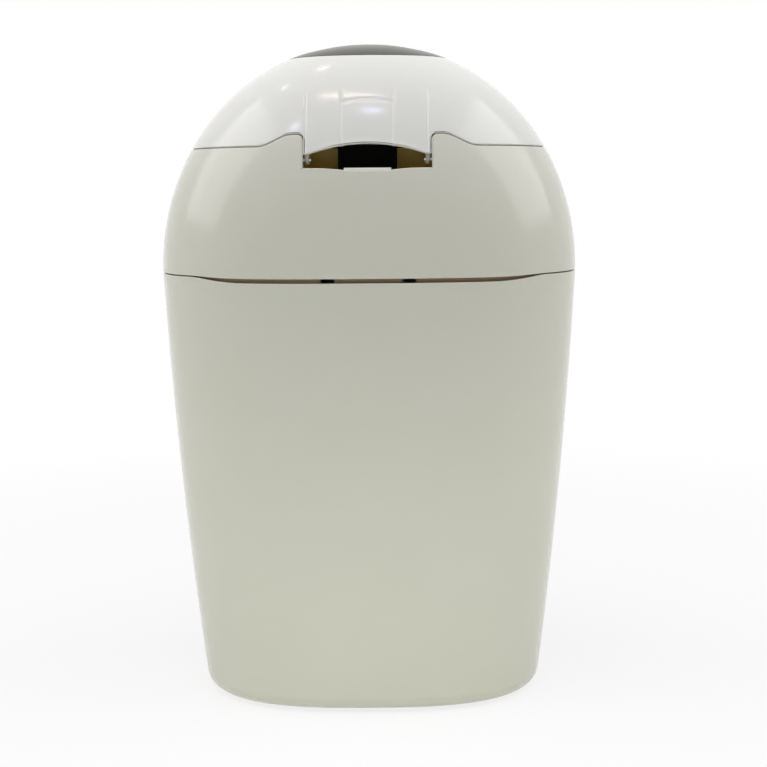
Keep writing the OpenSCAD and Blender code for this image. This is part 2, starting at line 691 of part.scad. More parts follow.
// The part of the dome that the grey panel covers, shrunk by g
module panel_region(g) {
  half = panel_half - g;
  foot = panel_foot_half - g;
  translate([0, 0, top_z - panel_drop + g]) rotate([crest_tilt, 0, 0])
    block(-half, half, -half_d, 12, 0, 60);
  translate([0, 0, lid_z - 1]) linear_extrude(bin_d) polygon([
    [-half, 0], [half, 0], [foot, half_d + 10], [-foot, half_d + 10]]);
}

module lid_shell() color(white) difference() {
  dome_shell(lid_low, 0, lid_wall, 14);
  through_hinge_side() difference() {
    translate([-bin_w, 0]) square([2 * bin_w, 2 * top_z]);
    lid_outline();
  }
  block(-bin_w, bin_w, -0.01, bin_d, 0, lid_z);
  intersection() {
    dome_shell(lid_low - 5, -1, panel_t + 1 + fit / 3, 14);
    panel_region(0);
  }
}

module lid_panel() color(grey) intersection() {
  dome_shell(lid_low - 5, 0, panel_t, 14);
  panel_region(0.25);
  block(-bin_w, bin_w, -bin_d, bin_d, lid_z, top_z + 10);
}

grip_y = skin_y(0, lid_z + 8);
grip_half = panel_foot_half - 14;
grip_r = 3;

// The finger lip at the lower end of the panel, a bowed bar
module lid_grip() color(grey) hull() {
  for (s = [-1, 1]) translate([s * grip_half, grip_y + 1 + grip_r, lid_z + 7]) sphere(r = grip_r, $fn = 16);
  for (s = [-0.5, 0.5]) translate([s * grip_half, grip_y + 10, lid_z + 6]) sphere(r = grip_r, $fn = 16);
}

liner_t = 2.6;
liner_z = lid_z + 0.4;

module lid_liner() color(white) difference() {
  translate([0, 0, liner_z]) linear_extrude(liner_t)
    polygon(dome_plate(liner_z + liner_t, lid_wall + fit, fit));
  block(-shoulder_half - 8, shoulder_half + 8, -bin_d, lid_axis_y + 20, 0, top_z);
  block(-cup_half - 2, cup_half + 2, -bin_d, lid_axis_y + 24, 0, top_z);
}

module lid_seal() color(dark) translate([0, mouth_y, deck_top + fit]) difference() {
  cylinder(r = cradle_r + 0.5 + seal_w, h = liner_z - deck_top - fit, $fn = 120);
  translate([0, 0, -1]) cylinder(r = cradle_r + 0.5, h = liner_z - deck_top + 2, $fn = 120);
}

// ---- one node at a time -------------------------------------------------------------------------

tub();
tub_collar();
rubber_feet();
tub_hinge_bracket();
hood_hinge_pins();
button_housing();
release_button();
button_spring();
hood_shell();
hood_hinge_arms();
hood_hook();
deck();
cradle();
cassette_tray();
cassette_film();
cassette_cap();
clamp_frame();
clamp_screws();
jaw(-1);  // jaw_left
jaw(1);  // jaw_right
jaw_lip(-1);  // jaw_lip_left
jaw_lip(1);  // jaw_lip_right
jaw_pins();
jaw_springs();
cutter_rail();
cutter_slider();
cutter_blade();
lid_hinge_bracket();
bracket_screws();
hinge_damper();
lid_shell();
lid_panel();
lid_grip();
lid_liner();
lid_seal();
lid_hinge_arms();
lid_hinge_pins();
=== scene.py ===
import bpy
import json
import math
import numpy as np
from mathutils import Matrix, Vector


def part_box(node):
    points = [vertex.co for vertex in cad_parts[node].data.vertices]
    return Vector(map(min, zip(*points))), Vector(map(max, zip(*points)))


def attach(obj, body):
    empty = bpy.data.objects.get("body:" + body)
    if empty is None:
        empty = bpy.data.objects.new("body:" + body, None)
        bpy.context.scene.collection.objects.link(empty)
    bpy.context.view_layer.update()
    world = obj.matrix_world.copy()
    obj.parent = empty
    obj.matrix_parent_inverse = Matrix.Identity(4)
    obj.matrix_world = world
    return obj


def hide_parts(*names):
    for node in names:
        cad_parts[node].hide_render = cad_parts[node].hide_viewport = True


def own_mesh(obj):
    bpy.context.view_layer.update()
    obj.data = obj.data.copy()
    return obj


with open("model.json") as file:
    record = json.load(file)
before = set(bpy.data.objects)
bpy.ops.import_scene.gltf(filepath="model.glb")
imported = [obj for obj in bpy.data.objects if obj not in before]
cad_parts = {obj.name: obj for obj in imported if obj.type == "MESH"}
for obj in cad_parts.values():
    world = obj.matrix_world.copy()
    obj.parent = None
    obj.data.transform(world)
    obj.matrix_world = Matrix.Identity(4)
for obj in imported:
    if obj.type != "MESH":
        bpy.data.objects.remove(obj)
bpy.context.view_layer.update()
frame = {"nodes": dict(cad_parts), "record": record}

mm = 0.001

# The hinge side of the bin faces the camera, on -Y. Sizes are in millimetres until a mesh is made.
cameraView = dict(place=(10.5, -1170.2, 403.0), pitch=-7.8, roll=-0.455, width=29.96)


def makeCamera():
    # Stands at its place and looks along +Y, turned by pitch and roll in degrees; width is its angle of view
    data = bpy.data.cameras.new("front_camera")
    data.sensor_fit = "HORIZONTAL"
    data.angle = math.radians(cameraView["width"])
    camera = bpy.data.objects.new("front_camera", data)
    look = Matrix.Rotation(math.radians(90 + cameraView["pitch"]), 4, "X")
    turn = Matrix.Rotation(math.radians(cameraView["roll"]), 4, "Z")
    camera.matrix_world = Matrix.Translation(Vector(cameraView["place"]) * mm) @ look @ turn
    bpy.context.scene.collection.objects.link(camera)
    bpy.context.scene.camera = camera


makeCamera()
print("camera placed")


# The body of the bin: halves of its widest level, heights, powers and squareness of the dome's levels.
# hold is (x up to which a column of the mesh keeps its x, x from which it keeps its angle instead)
form = dict(
    halfWidth=165.0, halfDepth=122.0, seamZ=338.0, wideZ=341.0, domeRise=175.0, lidZ=434.1,
    widthPower=0.967, depthPower=0.925, square=2.7, crestSquare=2.2, hold=(60.0, 110.0))
crestZ = form["wideZ"] + form["domeRise"]


def smooth(v):
    # 3v^2 - 2v^3 between 0 and 1
    v = np.clip(v, 0, 1)
    return v * v * (3 - 2 * v)


def signedPower(v, power):
    # |v|^power with the sign of v
    return np.sign(v) * np.abs(v) ** power


def unit(v):
    # v divided by its length
    return v / np.maximum(np.linalg.norm(v, axis=-1, keepdims=True), 1e-9)


def domeSection(z):
    # Half width, half depth and squareness of the level at z: its size follows a quarter circle
    # of height domeRise, raised to a power for each direction
    rise = np.clip((z - form["wideZ"]) / form["domeRise"], 0, 0.999999)
    share = np.sqrt(1 - rise ** 2)
    square = form["square"] + (form["crestSquare"] - form["square"]) * rise
    wide = form["halfWidth"] * share ** form["widthPower"]
    deep = form["halfDepth"] * share ** form["depthPower"]
    return wide, deep, square


def onSection(section, angle, z):
    # x = half width * cos(angle)^(2 / squareness), y = half depth * sin(angle)^(2 / squareness)
    wide, deep, square = section(z)
    x = wide * signedPower(np.cos(angle), 2 / square)
    y = deep * signedPower(np.sin(angle), 2 / square)
    return np.stack([x, y, z + 0 * angle], -1)


def skinY(section, x, z):
    # The same curve solved for y: half depth * (1 - |x / half width|^squareness)^(1 / squareness)
    wide, deep, square = section(z)
    return deep * np.clip(1 - (np.abs(x) / wide) ** square, 0, 1) ** (1 / square)


def skinnedAt(section, x, z, side):
    # The point of the skin at x and z, on the hinge side for side -1 and in front for 1
    return np.stack([x, side * skinY(section, x, z), z], -1)


def gradient(value, points, step=0.01):
    # Central differences of a function of position along x, y and z
    rises = [value(points + step * axis) - value(points - step * axis) for axis in np.eye(3)]
    return np.stack(rises, -1) / (2 * step)


def normalOf(section, points):
    # Direction in which |x / half width|^squareness + |y / half depth|^squareness grows fastest
    def level(p):
        wide, deep, square = section(p[..., 2])
        return np.abs(p[..., 0] / wide) ** square + np.abs(p[..., 1] / deep) ** square
    return unit(gradient(level, points))


def pressedIn(points, normals, depth):
    # Moves a skin inwards by depth(p), and tilts its normals by the slope of that depth
    slope = gradient(depth, points, 0.05)
    slope -= normals * (slope * normals).sum(-1, keepdims=True)
    return points - normals * depth(points)[:, None], unit(normals + slope)


def angleOfX(section, x, z):
    # The angle at which a level passes x: arccos of (|x| / half width)^(squareness / 2)
    wide, _, square = section(z)
    return np.arccos(np.clip(np.abs(x) / wide, 0, 1) ** (square / 2))


def ringColumns(section, z, marks, sideSteps):
    # x and side of each column of a closed ring, from the left over the hinge side to the front.
    # marks are pairs (x, steps up to it) from the middle; beyond them the steps are even in angle
    ends = [0.0] + [x for x, _ in marks]
    parts = [np.linspace(low, high, steps + 1)[1:] for (high, steps), low in zip(marks, ends)]
    wide, _, square = section(z)
    angles = np.linspace(angleOfX(section, ends[-1], z), 0, sideSteps + 1)[1:]
    quarter = np.concatenate([[0.0]] + parts + [wide * np.cos(angles) ** (2 / square)])
    hinge = np.concatenate([-quarter[::-1], quarter[1:]])
    side = np.concatenate([-np.ones(len(hinge)), np.ones(len(hinge) - 2)])
    return np.concatenate([hinge, hinge[::-1][1:-1]]), side


def columnAngle(section, x, side, z, hold, holdZ):
    # Angle of a column at z: that of its own x near the middle, and further out that of its x at holdZ
    share = smooth((np.abs(x) - hold[0]) / (hold[1] - hold[0]))
    angle = (1 - share) * angleOfX(section, x, z) + share * angleOfX(section, x, holdZ + 0 * z)
    return side * np.where(x < 0, np.pi - angle, angle)


def ontoCorner(section, points, centreX, centreZ, radius, side):
    # Turns a square corner of the grid into a quarter round: a point keeps its direction from the centre,
    # and the larger of its two offsets becomes its distance
    dx, dz = (np.abs(points[:, 0]) - centreX) / radius, (points[:, 2] - centreZ) / radius
    reach = radius * np.maximum(np.abs(dx), np.abs(dz)) / np.maximum(np.hypot(dx, dz), 1e-9)
    return skinnedAt(section, np.sign(points[:, 0]) * (centreX + dx * reach), centreZ + dz * reach, side)


def gridNumbers(grid, start=0):
    # Point numbers, row by row from start, of a grid of points
    return start + np.arange(grid.shape[0] * grid.shape[1]).reshape(grid.shape[:2])


def gridFaces(index, wrap=False):
    # Quads between the rows and columns of a grid of point numbers, whose rows may close into rings
    if wrap:
        index = np.concatenate([index, index[:, :1]], 1)
    return np.stack([index[:-1, :-1], index[:-1, 1:], index[1:, 1:], index[1:, :-1]], -1).reshape(-1, 4)


def fanFaces(ring, pole):
    # A triangle from each step of a ring to the pole
    return np.stack([ring, np.roll(ring, -1), np.full(len(ring), pole)], -1)


def newMesh(name, points, faces, normals=None):
    # Puts points in millimetres, arrays of faces and normals into a smooth object at the origin
    mesh = bpy.data.meshes.new(name)
    mesh.from_pydata((np.asarray(points) * mm).tolist(), [], [f for part in faces for f in part.tolist()])
    mesh.polygons.foreach_set("use_smooth", np.ones(len(mesh.polygons), bool))
    if normals is not None:
        mesh.normals_split_custom_set_from_vertices(np.asarray(normals).tolist())
    mesh.update()
    obj = bpy.data.objects.new(name, mesh)
    bpy.context.scene.collection.objects.link(obj)
    return obj


def thickSheet(name, points, normals, faces, wall, edge, arcSteps=3):
    # Skin, the same skin moved inwards by the wall, and quarter rounds of radius edge along every open rim.
    # A rim is found as the edges that only one face runs along; out points away from the sheet there
    skin, normals, count = np.array(points, float), np.array(normals, float), len(points)
    ahead = np.concatenate([np.stack([f, np.roll(f, -1, 1)], -1).reshape(-1, 2) for f in faces])
    free = ~np.isin(ahead[:, 0] * count + ahead[:, 1], ahead[:, 1] * count + ahead[:, 0])
    after, before, place = (np.full(count, -1) for _ in range(3))
    after[ahead[free, 0]] = ahead[free, 1]
    before[ahead[free, 1]] = ahead[free, 0]
    rim = np.flatnonzero(after >= 0)
    place[rim] = np.arange(len(rim))
    bend = unit(skin[after[rim]] - skin[rim]) + unit(skin[rim] - skin[before[rim]])
    mitre = (1 / np.maximum(np.linalg.norm(bend, axis=1) / 2, 0.5))[:, None]
    out = unit(np.cross(unit(bend), normals[rim]))
    skin[rim] -= out * edge * mitre
    up, base = normals[rim], skin[rim]
    allPoints, allNormals, loops = [skin, skin - wall * normals], [normals, -normals], [rim]
    for k in range(2 * arcSteps):
        onTop = k < arcSteps
        turn = math.pi / 2 * (k + 1 if onTop else k) / arcSteps
        centre = base - (edge if onTop else wall - edge) * up
        allPoints.append(centre + edge * (math.cos(turn) * up + math.sin(turn) * out * mitre))
        allNormals.append(unit(math.cos(turn) * up + math.sin(turn) * out))
        loops.append(2 * count + k * len(rim) + np.arange(len(rim)))
    loops.append(rim + count)
    here, there = np.arange(len(rim)), place[after[rim]]
    walls = [np.stack([upper[there], upper[here], lower[here], lower[there]], -1)
             for upper, lower in zip(loops[:-1], loops[1:])]
    inner = [f[:, ::-1] + count for f in faces]
    return newMesh(name, np.concatenate(allPoints), list(faces) + inner + walls, np.concatenate(allNormals))


# Shell of white ABS. The seam's gap opens from sideGap to hingeGap in an S, which starts at dipStart and is
# dipRun long, both shares of the half depth. baseRings are shares of the base's size, and columns are pairs
# (x, steps up to it)
tub = dict(
    baseHalf=(136.5, 108.0), foot=1.5, belly=3.1, round=12.0, wall=2.6, edge=0.6,
    sideGap=0.8, hingeGap=4.7, dipStart=0.72, dipRun=0.2,
    baseRings=(0.02, 0.3, 0.6, 0.8, 0.92, 0.98), roundSteps=8, wallSteps=27, topSteps=4,
    columns=[(46.0, 8), (86.0, 10)], sideSteps=26, hold=(30.0, 90.0))
buttonHole = dict(half=20.3, radius=8.3, z=317.0, flatSteps=5, roundSteps=6, heightSteps=8)


def tubSection(z):
    # A superellipse whose halves grow evenly from the base to the seam, plus a parabola of belly
    share = np.clip((z - tub["foot"]) / (form["seamZ"] - tub["foot"]), 0, 1)
    bow = 4 * tub["belly"] * share * (1 - share)
    wide, deep = tub["baseHalf"]
    wide = wide + (form["halfWidth"] - wide) * share + bow
    deep = deep + (form["halfDepth"] - deep) * share + bow
    return wide, deep, form["square"] + 0 * z


def hingeDip(y):
    # 0 at the sides and in front, 1 along the hinge side, where the seam lies lower: an S over y
    return smooth((-y / form["halfDepth"] - tub["dipStart"]) / tub["dipRun"])


def rimGap(y):
    # Height of the seam's gap at y, from sideGap to hingeGap by hingeDip
    return tub["sideGap"] + (tub["hingeGap"] - tub["sideGap"]) * hingeDip(y)


def makeTub():
    # Rings from the middle of the base over a quarter round up to the rim, whose height is seamZ - rimGap
    foot, rounding, radius = tub["foot"], tub["round"], buttonHole["radius"]
    middleZ, reach = buttonHole["z"], buttonHole["half"] - radius
    low, high = middleZ - radius, middleZ + radius
    hole = [(reach, buttonHole["flatSteps"]), (buttonHole["half"], buttonHole["roundSteps"])]
    x, side = ringColumns(tubSection, middleZ, hole + tub["columns"], tub["sideSteps"])

    def ring(z):
        # The tub's section at z, column by column
        return onSection(tubSection, columnAngle(tubSection, x, side, z, tub["hold"], middleZ), z)

    # share scales the flat rings of the base, turn runs over the quarter round after them
    corner = np.radians(np.linspace(0, 90, tub["roundSteps"] + 1))
    share = np.concatenate([tub["baseRings"], np.ones(len(corner))])[:, None, None]
    turn = np.concatenate([np.zeros(len(tub["baseRings"])), corner])[:, None, None]
    rounded = len(turn)
    heights = np.concatenate([np.full(rounded, foot + rounding),
                              np.linspace(foot + rounding, low, tub["wallSteps"] + 1)[1:],
                              np.linspace(low, high, buttonHole["heightSteps"] + 1)[1:]])
    body = ring(heights[:, None] + 0 * x)
    normals = normalOf(tubSection, body)
    flat = unit(normals[:rounded] * [1, 1, 0])
    body[:rounded] = (body[:rounded] - rounding * (1 - np.sin(turn)) * flat) * [1, 1, 0] * share
    body[:rounded, :, 2] = foot + rounding * (1 - np.cos(turn[..., 0]))
    normals[:rounded] = np.sin(turn) * flat + [0, 0, -1] * np.cos(turn)
    rise = np.linspace(0, 1, tub["topSteps"] + 1)[1:, None]
    top = ring(high + rise * (form["seamZ"] - rimGap(body[-1, :, 1]) - high))
    body, normals = np.concatenate([body, top]), np.concatenate([normals, normalOf(tubSection, top)])
    points = np.concatenate([body.reshape(-1, 3), [[0, 0, foot]]])
    normals = np.concatenate([normals.reshape(-1, 3), [[0, 0, -1]]])
    quads = gridFaces(gridNumbers(body), True)
    # The hole for the button: a rectangle of cells goes, and its rim moves onto rounded ends
    middle = points[quads].mean(1)
    quads = quads[~((middle[:, 1] > 0) & (np.abs(middle[:, 0]) < buttonHole["half"])
                    & (middle[:, 2] > low) & (middle[:, 2] < high))]
    beyond, height = (np.abs(points[:, 0]) - reach) / radius, np.abs(points[:, 2] - middleZ) / radius
    end = (points[:, 1] > 0) & (beyond > 0) & (beyond < 1.001) & (height < 1.001)
    points[end] = ontoCorner(tubSection, points[end], reach, middleZ, radius, 1)
    # What lay inside the hole is used by no face and goes
    used, fresh = np.unique(quads, return_inverse=True)
    faces = [fresh.reshape(-1, 4), fanFaces(np.arange(len(x))[::-1], len(used))]
    used = np.append(used, len(points) - 1)
    piece = thickSheet("tub_skin", points[used], normals[used], faces, tub["wall"], tub["edge"])
    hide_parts("tub")
    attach(piece, "bin")
    return piece


# The dome from the seam to the lid. dip is how far the hinge side hangs lower, as the tub's rim does there,
# and dipRows is how much of it the lowest rows take
hood = dict(wall=2.6, gap=0.7, edge=0.9, dip=1.5, dipRows=(1.0, 0.66, 0.33), wallSteps=16, stripSteps=16,
            sideSteps=24)
# The lid's tongue, the S-shaped shoulders beside it, and the notch under it with the bow of its floor.
# bends are the x of mesh columns just past both ends of the S
tongue = dict(half=47.0, drop=6.2, arch=7.3, foot=3.8)
shoulder = dict(rise=8.7, start=82.0, crown=56.0, corner=4.0, bends=(57.0, 88.0))
notch = dict(drop=16.7, bow=2.6, fadeIn=8.0, fadeRows=(0.3, 0.6, 0.85, 1.0))
crownZ = form["lidZ"] + shoulder["rise"]
notchZ = form["lidZ"] - notch["drop"]


def seamHeight(x):
    # The seam climbs in an S from the side to the crown of each shoulder
    share = (shoulder["start"] - np.abs(x)) / (shoulder["start"] - shoulder["crown"])
    return form["lidZ"] + shoulder["rise"] * smooth(share)


def climbed(ring, side, drop):
    # Height of the seam at each column, found by following the column up to it
    top = np.where(side < 0, crownZ, form["lidZ"]) - drop
    for _ in range(8):
        top = np.where(side < 0, seamHeight(ring(top)[..., 0]), form["lidZ"]) - drop
    return top


def makeHood():
    # Full rings up to the floor of the notch, and above it a strip from one notch wall round to the other.
    # The floor hangs lower by bow * (1 - (x / half)^2)^4
    half, corner, crown = tongue["half"] + hood["gap"], shoulder["corner"], crownZ - hood["gap"]
    marks = [(half, 18), (half + corner, 5), (shoulder["bends"][0], 3), (shoulder["bends"][1], 14)]
    x, side = ringColumns(domeSection, notchZ, marks, hood["sideSteps"])
    inNotch = (side < 0) & (np.abs(x) < half + 0.01)
    floor = notchZ - np.where(inNotch, notch["bow"] * np.clip(1 - (x / half) ** 2, 0, 1) ** 4, 0)

    def ring(z, columns=slice(None)):
        # The dome's section at z, column by column
        angle = columnAngle(domeSection, x[columns], side[columns], z, form["hold"], notchZ)
        return onSection(domeSection, angle, z)

    # The last rows below the notch bend into its floor, and the lowest rows sink with the tub's rim
    levelZ, sunk = notchZ - notch["fadeIn"], np.array(hood["dipRows"])[:, None]
    even = np.concatenate([form["seamZ"] + np.arange(len(sunk)),
                           np.linspace(form["wideZ"], levelZ, hood["wallSteps"] + 1)])
    bowed = levelZ + np.array(notch["fadeRows"])[:, None] * (floor - levelZ)
    body = ring(np.concatenate([even[:, None] + 0 * x, bowed]))
    body[:len(sunk), :, 2] -= hood["dip"] * hingeDip(body[0, :, 1]) * sunk
    # The strip starts at one notch wall, and its corners are rounded before it meets the rings
    start = np.flatnonzero((side < 0) & (np.abs(x - half) < 1e-6))[0]
    strip = (start + np.arange(len(x) - inNotch.sum() + 2)) % len(x)
    top = climbed(lambda z: ring(z, strip), side[strip], hood["gap"])
    above = ring(notchZ + np.linspace(0, 1, hood["stripSteps"] + 1)[1:, None] * (top - notchZ), strip)
    centreX, centreZ = half + corner, crown - corner
    inCorner = (above[..., 1] < 0) & (np.abs(above[..., 0]) < centreX) & (above[..., 2] > centreZ)
    above[inCorner] = ontoCorner(domeSection, above[inCorner], centreX, centreZ, corner, -1)
    index = gridNumbers(body)
    upper = gridNumbers(above, index.size)
    faces = [gridFaces(index, True), gridFaces(np.concatenate([index[-1:, strip], upper]))]
    points = np.concatenate([body.reshape(-1, 3), above.reshape(-1, 3)])
    piece = thickSheet("hood_skin", points, normalOf(domeSection, points), faces, hood["wall"], hood["edge"])
    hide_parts("hood_shell")
    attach(piece, "hood")
    return piece


# Stop tab in the notch. root is how deep it starts below the lowest point of the floor
tab = dict(half=17.4, height=3.0, root=1.5, sunk=0.25, lean=1.1, wall=2.0, edge=0.4)


def makeTab():
    # Stands up from the middle of the notch and leans inwards by sunk + lean * share^2 of its height
    low, tall = notchZ - notch["bow"] - tab["root"], tab["root"] + tab["height"]
    x, z = np.meshgrid(np.linspace(-1, 1, 25) * tab["half"], np.linspace(low, low + tall, 7))
    points = skinnedAt(domeSection, x, z, -1).reshape(-1, 3)
    normals = normalOf(domeSection, points)
    share = (points[:, 2:] - low) / tall
    points = points - (tab["sunk"] + tab["lean"] * share ** 2) * normals
    normals = unit(normals + [0, 0, 1] * share * 2 * tab["lean"] / tall)
    piece = thickSheet("stop_tab", points, normals, [gridFaces(gridNumbers(x))], tab["wall"], tab["edge"])
    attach(piece, "hood")
    return piece


# Grey panel over the front of the lid, in a bed that is bed deep and fades in over bedRun. Its half width
# falls from half over the crest to lowHalf at a point ahead mm in front of the skin, and its rear edge lies
# drop below the crest. There the skin is so flat that slope mm of it go by for each mm of height.
# The panel's crown is flatter than the dome by dip, which fades in from the sides and from the rear edge
panel = dict(
    wall=1.4, edge=0.4, half=63.0, lowHalf=52.0, ahead=10.0, drop=12.5, room=0.25, proud=0.1,
    bed=2.4, bedRun=2.5, slope=1.6, dip=0.7, dipRuns=(30.0, 9.0), columns=49, rows=72)
panelEdgeZ = crestZ - panel["drop"]
# The lid's shell. loosen is how far below the crest its columns start and end to let go of their x
lid = dict(wall=2.6, edge=0.9, lift=3.0, topAngle=88.2, loosen=(60.0, 10.0), rows=79, sideSteps=22)
# Faint marks in the tongue's skin, where ribs stand behind it: an upright pair at outer and one at inner,
# a crease between the inner pair, and a lower lip that flares out. band is the x of mesh columns round inner
sink = dict(depth=0.55, spread=0.85, outer=46.0, inner=19.6, top=479.0, fade=8.0, band=(18.4, 22.8))
crease = dict(z=465.8, rise=2.6, spread=1.1, share=0.8, past=0.5, fade=1.5)
lip = dict(depth=0.3, height=4.5, half=41.0, fade=8.0)


def panelHalf(y):
    # Half the panel's width, which narrows evenly from the crest to the front
    share = np.clip(y / (form["halfDepth"] + panel["ahead"]), 0, 1)
    return panel["half"] - (panel["half"] - panel["lowHalf"]) * share


def archZ(x):
    # Lower edge of the tongue: a parabola between its two feet
    foot = tongue["half"] - tongue["foot"]
    return form["lidZ"] - tongue["drop"] + tongue["arch"] * np.clip(1 - (x / foot) ** 2, 0, 1)


def lidRelief(p):
    # Depth of the bed under the panel, plus the sum of the marks on the hinge side, each a bell curve
    # exp(-(distance / spread)^2) that fades out at its ends, less the flare of the lip
    across, z, hingeSide = np.abs(p[..., 0]), p[..., 2], p[..., 1] < 0
    beside = panelHalf(p[..., 1]) - across
    behind = np.where(hingeSide, (z - panelEdgeZ) * panel["slope"], np.inf)
    bed = panel["bed"] * smooth(np.minimum(beside, behind) / panel["bedRun"])
    mark = sum(np.exp(-((across - at) / sink["spread"]) ** 2) for at in (sink["outer"], sink["inner"]))
    mark = mark * smooth((sink["top"] - z) / sink["fade"])
    bowed = crease["z"] + crease["rise"] * (1 - (across / sink["inner"]) ** 2)
    within = smooth((sink["inner"] + crease["past"] - across) / crease["fade"])
    mark = mark + crease["share"] * np.exp(-((z - bowed) / crease["spread"]) ** 2) * within
    low = smooth((archZ(across) + lip["height"] - z) / lip["height"])
    flare = lip["depth"] * low * smooth((lip["half"] - across) / lip["fade"])
    return bed + np.where(hingeSide, sink["depth"] * mark - flare, 0)


def makeLid():
    # Rings from the seam to the crest, and below them the tongue between the hinge arms, cut to an arch
    half, corner, foot = tongue["half"], shoulder["corner"], tongue["half"] - tongue["foot"]
    marks = [(sink["band"][0], 12), (sink["band"][1], 11), (foot, 15), (half, 8), (half + corner, 8),
             (shoulder["bends"][0], 4), (shoulder["bends"][1], 14)]
    x, side = ringColumns(domeSection, crownZ, marks, lid["sideSteps"])

    def ring(z):
        # A column that kept its x below lets go of it in an S towards the crest
        begin, end = lid["loosen"]
        loosen = smooth((z - crestZ + begin) / (begin - end))
        held = columnAngle(domeSection, x, side, z, form["hold"], crownZ)
        free = columnAngle(domeSection, x, side, z, (-2, -1), crownZ)
        return onSection(domeSection, held + loosen * (free - held), z)

    # A few rows follow the seam, and above lift the rows are even in angle along the arch of the dome
    seam, lift = climbed(ring, side, 0), crownZ + lid["lift"]
    lowest = math.asin((lift - form["wideZ"]) / form["domeRise"])
    turn = np.linspace(lowest, math.radians(lid["topAngle"]), lid["rows"] + 1)[1:]
    rows = np.concatenate([seam + np.linspace(0, 1, 7)[:, None] * (lift - seam),
                           form["wideZ"] + form["domeRise"] * np.sin(turn)[:, None] + 0 * x])
    body = ring(rows)
    hung = np.flatnonzero((side < 0) & (np.abs(x) < half + 0.01))
    z = crownZ + np.linspace(0, 1, 16)[1:, None] * (archZ(x[hung]) - crownZ)
    below = skinnedAt(domeSection, x[hung] + 0 * z, z, -1)
    index = gridNumbers(body)
    lower = gridNumbers(below, index.size)
    faces = [gridFaces(index, True), gridFaces(np.concatenate([index[:1, hung], lower])[::-1]),
             fanFaces(index[-1], index.size + lower.size)]
    points = np.concatenate([body.reshape(-1, 3), below.reshape(-1, 3)])
    # The inner corners beside the tongue are filled to the radius of the hood's shoulders
    away, height = np.abs(points[:, 0]) - half, points[:, 2] - crownZ
    onWall = (np.abs(away) < 1e-6) & (height <= 0)
    onTop = (away >= -1e-6) & (np.abs(height) < 1e-6)
    filled = (points[:, 1] < 0) & (away < corner) & (height > -corner) & (onWall | onTop)
    points[filled] = ontoCorner(domeSection, points[filled], half + corner, crownZ - corner, corner, -1)
    points, normals = pressedIn(points, normalOf(domeSection, points), lidRelief)
    points = np.concatenate([points, [[0, 0, crestZ - panel["bed"]]]])
    normals = np.concatenate([normals, [[0, 0, 1]]])
    piece = thickSheet("lid_skin", points, normals, faces, lid["wall"], lid["edge"])
    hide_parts("lid_shell")
    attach(piece, "lid")
    return piece


def onRay(x, turn, eye=400.0, longest=140.0):
    # Where a ray in the plane of constant x, turned from the hinge side about the height eye, leaves the
    # dome, found by halving the stretch of ray between a point inside and one outside
    near, far = 0 * turn, 0 * turn + longest
    for _ in range(40):
        reach = (near + far) / 2
        wide, deep, square = domeSection(eye + reach * np.sin(turn))
        outside = (np.abs(x) / wide) ** square + (reach * np.abs(np.cos(turn)) / deep) ** square > 1
        near, far = np.where(outside, near, reach), np.where(outside, reach, far)
    return np.stack([x + 0 * turn, -near * np.cos(turn), eye + near * np.sin(turn)], -1)


def turnedTo(x, low, high, passed):
    # The turn between low and high degrees from which passed(point) holds, found by halving
    low, high = np.radians(low) + 0 * x, np.radians(high) + 0 * x
    for _ in range(40):
        middle = (low + high) / 2
        beyond = passed(onRay(x, middle))
        low, high = np.where(beyond, low, middle), np.where(beyond, middle, high)
    return low


def makePanel():
    # Strips of constant share of the width, from the edge behind the crest, which lies at a turn of
    # 20 to 90 degrees, over the top and down to the lid seam in front, at 90 to 176 degrees
    spread = np.sin(np.radians(np.linspace(-81, 81, panel["columns"])))
    along = np.linspace(0, 1, panel["rows"])[:, None]
    share, room = spread / spread[-1], panel["room"]
    x = share * panel["half"] + 0 * along
    for _ in range(6):
        start = turnedTo(x, 20, 90, lambda p: p[..., 2] > panelEdgeZ)
        stop = turnedTo(x, 90, 176, lambda p: p[..., 2] < form["lidZ"] + room)
        grid = onRay(x, start + along * (stop - start))
        x = share * (panelHalf(grid[..., 1]) - room)
    points = grid.reshape(-1, 3)
    normals = normalOf(domeSection, points)
    beside, behind = panelHalf(points[:, 1]) - np.abs(points[:, 0]), points[:, 2] - panelEdgeZ
    dip = panel["dip"] * smooth(beside / panel["dipRuns"][0]) * smooth(behind / panel["dipRuns"][1])
    points = points + (panel["proud"] - dip)[:, None] * normals
    faces = [gridFaces(gridNumbers(grid))]
    piece = thickSheet("panel_skin", points, normals, faces, panel["wall"], panel["edge"])
    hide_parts("lid_panel")
    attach(piece, "lid")
    return piece


# Lip for the fingers. It stands out by stub and its half thickness is thin at the ends, and both grow to the
# middle by reach and thick. powers round its section, squarer as they fall below 1
grip = dict(half=41.0, z=440.6, stub=1.0, reach=12.4, thin=1.2, thick=2.0, root=0.8, droop=0.8,
            powers=(0.7, 0.8))


